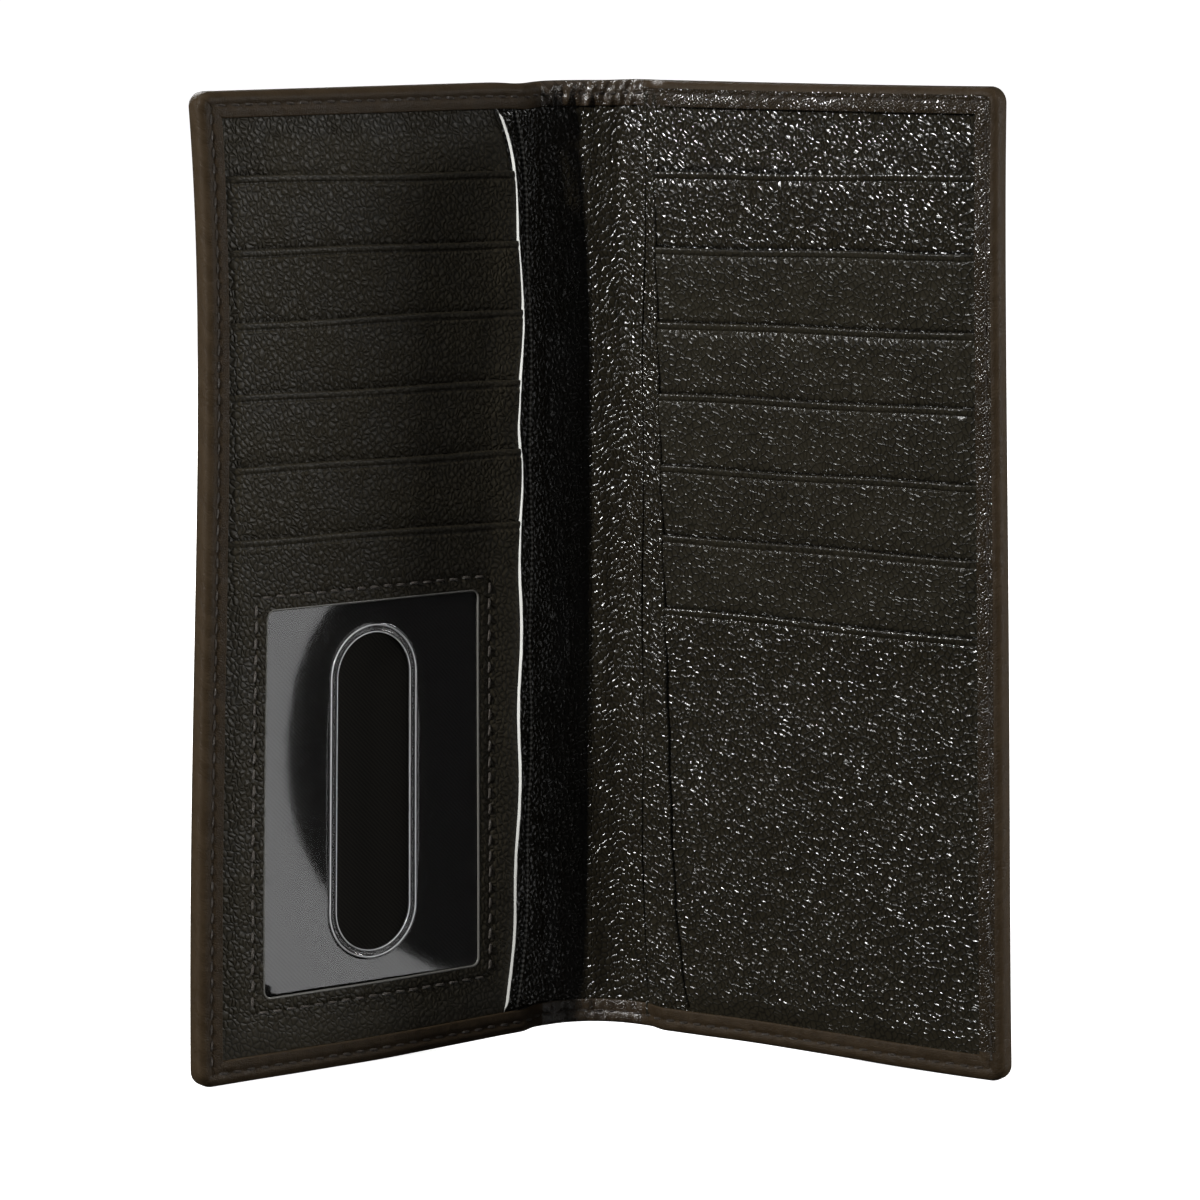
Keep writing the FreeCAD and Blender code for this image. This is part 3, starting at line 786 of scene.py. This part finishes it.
def lowest_face(side):
    """Front face of the panel below the last mouth, pressed in along the window's seam."""
    top = len(MOUTHS[side]) - 1

    def face(u, z):
        below = mouth_at(side, top, u) - z
        w = FOOT_W + (MOUTH_W - FOOT_W) * (1 - smooth(below / 16)) + mouth_detail(below)
        w = w + 0.06 * np.sin(0.05 * u + 0.04 * z) + 0.05 * np.sin(0.11 * u - 0.07 * z + 2)
        if side < 0:
            out_u = np.maximum(WINDOW_U[0] - u, u - WINDOW_U[1])
            out_z = np.maximum(WINDOW_Z[0] - z, z - WINDOW_Z[1])
            away = np.maximum(out_u, out_z)
            beside_u = np.minimum(abs(u - WINDOW_U[0] + SEAM), abs(u - WINDOW_U[1] - SEAM))
            beside_z = np.minimum(abs(z - WINDOW_Z[0] + SEAM), abs(z - WINDOW_Z[1] - SEAM))
            holes = needle_holes(np.where(beside_u < beside_z, z, u) / PITCH)
            w = w - (0.14 + 0.08 * holes) * ridge(away - SEAM, 0.4) + 0.05 * ridge(away - 1.2, 0.6)
        return under_hem(u, z, w) + gape(side, u, z)

    return face


def lowest_panel(side):
    """The panel below the last mouth. The left one has the window's opening."""
    top = len(MOUTHS[side]) - 1
    start, foot = float(inner_edge(side, np.array(92.0))) + 0.55, PANEL_END
    at_u, at_z, hole = [], [], None
    if side < 0:
        for places, edges, origin in ((at_u, WINDOW_U, start), (at_z, WINDOW_Z, foot)):
            for edge, out in zip(edges, (-1, 1)):
                places += [edge - origin, edge - origin + out * SEAM]
        hole = (WINDOW_U, WINDOW_Z, WINDOW_CORNER)
    at_z.append(MOUTHS[side][top] - foot - CREASE)
    panel_leather(LOWEST[side], side, top, foot, lowest_face(side), PANEL[side], (at_u, at_z), hole)


def film_inside(u, z):
    """How far inside the window film's edge a point is."""
    return np.minimum(np.minimum(u - FILM_U[0], FILM_U[1] - u), np.minimum(z - FILM_Z[0], FILM_Z[1] - z))


def flat_sheet(side, node, material, slot, u_start=None, lifted=False, wave=0.0, soft=(0.15, 0.15), step=4.0,
               tone=None):
    """A layer inside the wing, at its CAD node's place and thickness. Cloth behind the window gives way to the film."""
    (low_u, high_u), (low_w, high_w), z_range = span(node)

    def face(u, z):
        w = high_w + wave * np.sin(0.11 * z + 1.3 * side) * ridge(u - low_u, 12)
        if side < 0 and slot == "lining_cloth" and low_w > POCKET_BACK_W:
            w = w - 0.7 * (w - POCKET_BACK_W) * smooth(film_inside(u, z) / FILM_FADE)
        return w + (gape(side, u, z) if lifted else 0)

    obj = layer(
        f"{node}_sheet", side, (u_start or low_u, high_u), z_range, face, high_w - low_w, material, step=step,
        soft=soft, tone=tone,
    )
    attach(obj, f"{NAME[side]}_wing")
    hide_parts(node)
    return obj


def cloth(side, node, rests_on, **shape):
    """A sheet of cloth of its CAD node's size, held stretched between sewn layers."""
    obj = flat_sheet(side, node, LINING, "lining_cloth", **shape)


def bead(name, side, node, start, width, low, top, material, tone, step=0.8):
    """Rounded bead along an edge that runs up the wing, next to the spine. Start, low, top and tone depend on z."""
    end_z = 2.4
    z = np.concatenate([np.arange(end_z, HEIGHT - end_z, step), [HEIGHT - end_z]])[:, None]
    turn = np.linspace(0, 2 * math.pi, 17)[None, :]
    round_u = np.sign(np.cos(turn)) * np.abs(np.cos(turn)) ** 0.6
    round_w = np.sign(np.sin(turn)) * np.abs(np.sin(turn)) ** 0.6
    u = start(z) + width / 2 + width / 2 * round_u
    high = top(z) + 0.06 * np.sin(0.9 * z) * np.sin(0.31 * z)
    base = np.minimum(low(z), high - 0.3)
    w = (high + base) / 2 + (high - base) / 2 * round_w
    closing = np.array([[0.0], [1.0]])
    skin = Skin(side)
    skin.grid(u, w, z + 0 * u, tone=tone(z))
    for end in (0, -1):
        row_u, row_w = u[[end]], w[[end]]
        skin.grid(
            row_u * (1 - closing) + row_u.mean() * closing,
            row_w * (1 - closing) + row_w.mean() * closing,
            z[end, 0] + 0 * closing * row_u, tone=0.0,
        )
    obj = skin.made(name, [material])
    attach(obj, f"{NAME[side]}_wing")
    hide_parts(node)


def panel_edge(side):
    """Bead that closes the inner side edge of a card panel, pale on the left one. That pale colour partly stands in for
    the light caught along the edge, and its fading towards the bottom is painted highlight.
    """
    name, edge = NAME[side], partial(inner_edge, side)
    width, low, high, notch = (0.22, 3.85, 4.72, 0.08) if side < 0 else (1.1, 2.6, 4.7, 0.15)

    def top(z):
        dips = sum(ridge(z - mouth - 0.5, 0.5) for mouth in MOUTHS[side])
        beside = high - notch * dips
        if side > 0:
            # Above the first mouth it comes down to the top band
            beside = beside + (BAND_W + 0.15 - high) * smooth((z - mouth_at(1, 0, edge(z)) - 0.05) / 0.4)
        return under_hem(edge(z), z, beside, 3.6) + gape(side, edge(z), z)

    # On the left the bead is pale, fading towards the bottom: partly a painted highlight
    bead(
        f"{name}_panel_edge", side, f"{name}_pocket_back", edge, width, lambda z: low + gape(side, edge(z), z), top,
        EDGE if side < 0 else PANEL[1], lambda z: 1.0 - 0.35 * smooth((90 - z) / 60) if side < 0 else 0.3,
    )


def divider_bead(side):
    """Folded edge of the long pocket's divider, with calmer grain. On the left it is pale in dots along its length,
    standing in for glints: painted highlight.
    """
    name = NAME[side]
    _, (low, high), _ = span(f"{name}_bill_divider")
    # On the left, pale dots along the edge: painted highlight
    bead(
        f"{name}_divider_edge", side, f"{name}_bill_divider", lambda z: divider_edge(side, z) - 0.15, 0.75,
        lambda z: np.full_like(z, low), lambda z: under_hem(divider_edge(side, z), z, high + 0.3),
        EDGE if side < 0 else PANEL[1], lambda z: 0.47 + 0.1 * np.sin(6.3 * z), step=0.3,
    )


def inner_layers(side):
    """All that lies inside the cover of a wing, from the board to the slot strips."""
    name = NAME[side]
    flat_sheet(side, f"{name}_stiffener", BOARD, "stiffener_board")
    cloth(side, f"{name}_cover_lining", [f"{name}_stiffener_sheet"], soft=(0.07, 0.07))
    flat_sheet(
        side, f"{name}_bill_divider", PANEL[1], "panel_leather", u_start=partial(divider_edge, side), wave=0.12,
        soft=(0.3, 0.3), step=2.0,
    )
    flat_sheet(
        side, f"{name}_pocket_back", PANEL[side], "panel_leather", u_start=partial(inner_edge, side), lifted=True,
        soft=(0.2, 0.3), step=2.0,
    )
    flat_sheet(
        side, f"{name}_top_band", PANEL[side], "panel_leather", u_start=partial(panel_start, side), lifted=True,
        soft=(0.3, 0.3), step=1.5,
        # Calmer grain on the left wing, and painted shade just above the first mouth
        tone=lambda u, z: (0.5 if side < 0 else 0.0) - 1.0 * ridge(z - mouth_at(side, 0, u) - 0.1, 0.4),
    )
    panel_edge(side)
    divider_bead(side)
    for order in range(STRIPS[side]):
        strip(side, order)
        cloth(
            side, f"{name}_slot_lining_{order + 1}", [f"{name}_slot_strip_{order + 1}_leather"],
            u_start=lambda z: np.maximum(8.0, inner_edge(side, z) + 1.2), lifted=True, soft=(0.05, 0.05),
        )
    lowest_panel(side)


def spine_lining(side):
    """Leather that lines the spine and runs on behind the divider."""
    name = NAME[side]

    def face(u, z):
        q = side * (u + ARC_HALF)
        soft = 1 - smooth((u - 0.5) / 3)
        folds = 0.16 * np.sin(0.75 * q + 0.6 * np.sin(0.035 * z + 1)) + 0.1 * np.sin(1.5 * q + 0.05 * z)
        ends = 1 + 0.9 * smooth((z - HEIGHT + 26) / 20)
        return SPINE_LINING_W + folds * soft * ends * smooth((HEIGHT - HEM - z) / 5) * smooth((z - HEM) / 5)

    obj = layer(
        f"{name}_spine_lining_leather", side, (-ARC_HALF, span(f"{name}_lining_facing")[0][1]),
        (1.0, HEIGHT - 1.0), face, SPINE_LINING, SPINE, step=0.9, soft=(1e-6, 0.2),
    )
    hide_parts(f"{name}_lining_facing", "spine_lining")
    bend(obj, side)


# ---- window
SLOT_WIDTH = 16.2
SLOT_LENGTH = 60.4
SLOT_Z = 51.8
SLOT_U = (WINDOW_U[0] + WINDOW_U[1]) / 2 - 0.3
# The film slopes one way on the spine's side of this line, and the other way beyond it
FILM_CREST = np.polynomial.Polynomial.fit(
    (15.4, 22.8, 32, 42, 56, 67, 80, 88), (24.5, 37.3, 50, 57, 61, 61.2, 57.2, 51.5), 5)


def film():
    """Clear sheet with a thumb slot and a welded rim, as rings from the slot out to the sheet's edge."""
    radius = SLOT_WIDTH / 2
    straight = (SLOT_LENGTH - SLOT_WIDTH) / 2
    angles = np.linspace(0, 2 * math.pi, 81)
    sides = np.linspace(1, -1, 25)[1:-1]
    path = [(math.cos(a), math.sin(a), straight) for a in angles[:41]]
    path += [(-1, 0, straight * k) for k in sides]
    path += [(math.cos(a), math.sin(a), -straight) for a in angles[40:]]
    path += [(1, 0, straight * k) for k in -sides]
    normal_u, normal_z, centre_z = np.array(path + path[:1]).T
    edge_u = SLOT_U + radius * normal_u
    edge_z = SLOT_Z + centre_z + radius * normal_z
    trim = 0.1
    low, high = np.array([FILM_U, FILM_Z]).T[:, :, None]
    half, centre = (high - low) / 2 - trim, (low + high) / 2
    reach = np.stack([edge_u, edge_z]) - centre
    far_u, far_z = centre + reach * (half / np.maximum(abs(reach), 1e-6)).min(0)
    # The welded rim: distances out from the slot's edge, and heights there, with two ridges
    rim_at = np.array([0, 0.03, 0.08, 0.15, 0.22, 0.28, 0.36, 0.8, 1.24, 1.32, 1.39, 1.47, 1.55, 1.62, 1.68, 1.72])
    rim_up = np.array([0, 0.16, 0.26, 0.3, 0.26, 0.16, 0.06, 0.06, 0.06, 0.16, 0.28, 0.33, 0.28, 0.16, 0.03, 0])
    crest_rows = np.isin(np.arange(len(rim_at) - 1), (1, 2, 3, 4, 9, 10, 11, 12))
    low_w, high_w = FILM_W[0], FILM_W[0] + FILM_THICK

    def sag(u, z):
        """How far the film stands off its flat place, with its slope changing over a few millimetres at the crest."""
        crest = FILM_CREST(np.clip(z, 14, 90))
        start, turn = 16, 5
        from_start = u - start
        level = -0.0243 * from_start + 0.00041 * ((from_start - 2) ** 2 - 4)
        fall = 0.035 * (np.log(np.cosh((crest - start) / turn)) - np.log(np.cosh((crest - u) / turn)))
        return (level + fall) * smooth(film_inside(u, z) / FILM_FADE)

    skin = Skin(-1)
    u = edge_u + np.outer(rim_at, normal_u)
    z = edge_z + np.outer(rim_at, normal_z)
    # The ridges take the half-white weld: painted highlight
    for material, rows in ((1, ~crest_rows), (2, crest_rows)):
        keep = np.repeat(rows[:, None], u.shape[1] - 1, 1)
        skin.grid(u, high_w + sag(u, z) + rim_up[:, None], z, keep=keep, material=material)
    skin.grid(u, low_w + sag(u, z), z, material=1)
    first = np.array([[high_w], [low_w]])
    skin.grid(u[:1] + 0 * first, first + sag(u[:1], z[:1]), z[:1] + 0 * first, material=1)
    share = np.linspace(0, 1, 29)[:, None]
    outer_u = u[-1:] * (1 - share) + far_u * share
    outer_z = z[-1:] * (1 - share) + far_z * share
    for face_w in (high_w, low_w):
        skin.grid(outer_u, face_w + sag(outer_u, outer_z), outer_z)
    end_u, end_z = outer_u[-1:], outer_z[-1:]
    skin.grid(end_u + 0 * first, first + sag(end_u, end_z), end_z + 0 * first)
    obj = skin.made("window_film", [FILM, WELD, WELD_LINE])
    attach(obj, "left_wing")
    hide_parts("left_window_plastic")


def window_edge():
    """Painted edge of the window's opening. Its pale colour stands in for the light caught along it: painted highlight.
    """
    radius, thick = WINDOW_CORNER, 0.24
    path = []
    for quarter, (out_u, out_z) in enumerate(((1, 1), (-1, 1), (-1, -1), (1, -1))):
        corner_u = WINDOW_U[1] - radius if out_u > 0 else WINDOW_U[0] + radius
        corner_z = WINDOW_Z[1] - radius if out_z > 0 else WINDOW_Z[0] + radius
        for turn in np.linspace(quarter, quarter + 1, 9) * math.pi / 2:
            path.append((corner_u, corner_z, math.cos(turn), math.sin(turn)))
    path = np.array(path)
    dense = []
    for start, end in zip(path, np.roll(path, -1, 0)):
        run = math.hypot(*(end[:2] - start[:2]))
        pieces = max(1, round(run / 1.5))
        dense += [start + (end - start) * k / pieces for k in range(pieces)]
    dense = np.array(dense + dense[:1])
    out_u, out_z = dense[:, 2:3], dense[:, 3:4]
    edge_u = dense[:, 0:1] + radius * out_u
    edge_z = dense[:, 1:2] + radius * out_z
    turn = np.linspace(0, 2 * math.pi, 13)[None, :]
    u = edge_u + thick * np.cos(turn) * out_u
    z = edge_z + thick * np.cos(turn) * out_z
    w = lowest_face(-1)(edge_u, edge_z) - 0.2 + 0.26 * np.sin(turn)
    skin = Skin(-1)
    # Half tone of the pale edge colour: painted highlight
    skin.grid(u, w, z, tone=0.5)
    obj = skin.made("window_edge", [EDGE])
    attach(obj, "left_wing")
    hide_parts(LOWEST[-1])


def window():
    """The film, the edge of its opening, the cloth behind it and the seam round it."""
    film()
    window_edge()
    cloth(-1, "left_window_backing", ["left_pocket_back_sheet"], soft=(0.05, 0.05), step=2.0)
    low_u, high_u = WINDOW_U[0] - SEAM, WINDOW_U[1] + SEAM
    low_z, high_z = WINDOW_Z[0] - SEAM, WINDOW_Z[1] + SEAM
    trim = 0.8  # from a corner of the seam to its first stitch
    runs = [
        ((low_u + trim, low_z), (high_u - trim, low_z)),
        ((high_u, low_z + trim), (high_u, high_z - trim)),
        ((high_u - trim, high_z), (low_u + trim, high_z)),
        ((low_u, high_z - trim), (low_u, low_z + trim)),
    ]
    face = lowest_face(-1)
    obj = stitches("window_stitches", -1, runs, lambda side, u, z: face(u, z), 1, 0.2, 0.28, WINDOW_THREAD)
    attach(obj, "left_wing")
    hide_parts("left_window_stitching")


for side in (-1, 1):
    cover = cover_half(side)
    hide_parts(f"cover_{NAME[side]}", "cover_spine")
    spine_lining(side)
    inner_layers(side)
    for name, face, outward, lift in (("hem", hem_face, 1, 0.08), ("outer", outer_face, -1, 0.04)):
        seam = stitches(f"{NAME[side]}_{name}_stitches", side, edge_runs(), face, outward, lift)
        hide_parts(f"{NAME[side]}_edge_stitching", "spine_edge_stitching")
        bend(seam, side)
window()

# ---- floor, lights and camera
def floor():
    """White floor that glows, but neither lights the wallet nor shows in its reflections."""
    mesh = bpy.data.meshes.new("floor")
    mesh.from_pydata([(-14, -6, 0), (14, -6, 0), (14, 30, 0), (-14, 30, 0)], [], [(0, 1, 2, 3)])
    obj = add_object("floor", mesh)
    n = Nodes("pale_floor")
    speckle = n.noise(n.add("ShaderNodeTexCoord", {}, "Object"), 60.0, 3.0)
    color = n.mix(speckle, (0.93, 0.93, 0.93), (0.97, 0.97, 0.97))
    feed(n.tree, n.shader.inputs["Emission Color"], color)
    mesh.materials.append(n.finish(color, 0.9, None, Specular_IOR_Level=0.1, Emission_Strength=1.0))
    obj.visible_glossy = False
    obj.visible_diffuse = False
    obj.visible_transmission = False


def aim(obj, at, direction):
    """Puts a light or the camera at a place, looking in a direction."""
    obj.location = at
    obj.rotation_mode = "QUATERNION"
    obj.rotation_quaternion = direction.to_track_quat("-Z", "Y")


def area(name, at, towards, size, power):
    """Soft light at a place, facing another one."""
    light = bpy.data.lights.new(name, "AREA")
    light.shape = "RECTANGLE"
    light.size, light.size_y = size
    light.energy = power
    aim(add_object(name, light), at, Vector(towards) - Vector(at))


floor()
middle = (0, 0, HEIGHT / 2000)
area("key", (-0.78, -0.627, 0.55), middle, (0.05, 0.05), 13.5)
# The boundary between bright and dark on the film is this light's far edge, at 67.3 degrees
half_side = math.radians(5.65)
side_at = math.radians(67.3) - half_side
area("side", (math.sin(side_at), -math.cos(side_at), 0.09), (0, 0, 0.09), (2 * math.tan(half_side), 1.0), 1.15)
area("behind", (-0.45, 1.15, 0.55), middle, (0.6, 0.6), 13.0)
area("fill", (0.9705, -0.1364, 0.26), middle, (0.25, 0.28), 7.5)

world = bpy.data.worlds.new("studio")
bpy.context.scene.world = world
world.use_nodes = True
sky = world.node_tree
direction = add_node(sky, "ShaderNodeTexCoord", {}, "Generated")
above = add_node(sky, "ShaderNodeSeparateXYZ", {0: direction}, "Z")
fade = {"Value": above, "From Min": 0.35, "From Max": 0.9, "To Min": 0.03, "To Max": 0.22}
glow = add_node(sky, "ShaderNodeMapRange", fade, interpolation_type="SMOOTHSTEP")
background = sky.nodes["Background"]
feed(sky, background.inputs["Strength"], glow)
background.inputs["Color"].default_value = (1, 1, 1, 1)

camera = bpy.data.cameras.new("camera")
bpy.context.scene.camera = add_object("camera", camera)
camera.lens = 159.35
camera.sensor_width = 36
camera.clip_end = 100
yaw, pitch = math.radians(2.2), math.radians(7.94)
forward = Vector((math.sin(yaw) * math.cos(pitch), math.cos(yaw) * math.cos(pitch), -math.sin(pitch)))
aim(bpy.context.scene.camera, (-0.0373, -0.98975, 0.2256), forward)
bpy.context.scene.view_settings.view_transform = "Standard"
